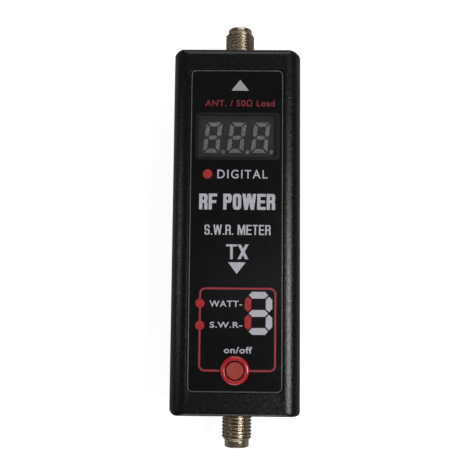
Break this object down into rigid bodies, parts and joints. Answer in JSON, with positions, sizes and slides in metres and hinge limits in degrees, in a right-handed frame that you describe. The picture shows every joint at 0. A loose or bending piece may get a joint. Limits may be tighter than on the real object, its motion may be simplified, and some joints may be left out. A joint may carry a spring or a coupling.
{
  "type": "swr meter",
  "caption": "In-line handheld SWR and power meter: slim black case, three-digit display, push button and a threaded coaxial jack on each end.",
  "frame": {"origin": "on the surface the meter lies on, under the centre of its bounding box", "axes": "+Y towards the antenna jack, +X to the right of the front face, +Z out of the front face"},
  "size_m": [0.0264, 0.0904, 0.0218],
  "materials": {
    "case_plastic": "fine-textured black moulding",
    "overlay_film": "semi-gloss black printed film",
    "window_clear": "clear smoked plastic, polished",
    "rear_label_film": "blank silver film",
    "screw_steel": "zinc plated",
    "jack_nickel": "nickel plated brass",
    "jack_dielectric": "white PTFE",
    "contact_gold": "gold plated",
    "board_laminate": "green solder mask on glass fibre",
    "tinned_copper": "tinned copper foil",
    "tin_plate": "tin plate",
    "chip_black": "black moulding",
    "terminator_ceramic": "white ceramic",
    "display_case": "dark grey moulding",
    "segment_resin": "diffusing resin",
    "dome_steel": "spring steel",
    "bezel_red": "glossy red",
    "cap_red": "duller red",
    "battery_pouch": "laminated foil pouch",
    "foam": "grey foam tape",
    "lead_red": "red insulation",
    "lead_black": "black insulation"
  },
  "bodies": {
    "case": {"front_shell": "case_plastic", "rear_shell": "case_plastic", "front_overlay": "overlay_film", "display_window": "window_clear", "rear_label": "rear_label_film", "case_screw_1": "screw_steel", "case_screw_2": "screw_steel", "case_screw_3": "screw_steel", "case_screw_4": "screw_steel", "board_screw_1": "screw_steel", "board_screw_2": "screw_steel", "ant_jack_body": "jack_nickel", "tx_jack_body": "jack_nickel", "ant_jack_insulator": "jack_dielectric", "tx_jack_insulator": "jack_dielectric", "battery_socket": "jack_dielectric", "ant_jack_contact": "contact_gold", "tx_jack_contact": "contact_gold", "rf_board": "board_laminate", "main_board": "board_laminate", "battery_guard_board": "board_laminate", "main_line": "tinned_copper", "forward_coupled_line": "tinned_copper", "reflected_coupled_line": "tinned_copper", "rf_shield_can": "tin_plate", "usb_shell": "tin_plate", "switch_cover": "tin_plate", "switch_terminal_left": "tin_plate", "switch_terminal_right": "tin_plate", "display_pins_lower": "tin_plate", "display_pins_upper": "tin_plate", "detector_diode_1": "chip_black", "detector_diode_2": "chip_black", "link_header": "chip_black", "controller_chip": "chip_black", "driver_chip": "chip_black", "charger_chip": "chip_black", "switch_base": "chip_black", "usb_tongue": "chip_black", "line_terminator_1": "terminator_ceramic", "line_terminator_2": "terminator_ceramic", "display_housing": "display_case", "display_resin": "segment_resin", "switch_dome": "dome_steel", "button_bezel": "bezel_red", "battery_cell": "battery_pouch", "battery_pad": "foam", "battery_lead_positive": "lead_red", "battery_lead_negative": "lead_black"},
    "button": {"button_cap": "cap_red", "switch_plunger": "chip_black"}
  },
  "joints": [
    {"name": "button_press", "type": "slide", "parent": "case", "child": "button", "axis": [0, 0, -1], "range_m": [0, 0.0004], "stiffness_N_per_m": 1500, "springref_m": -0.0004, "deforming": ["switch_dome"]}
  ]
}
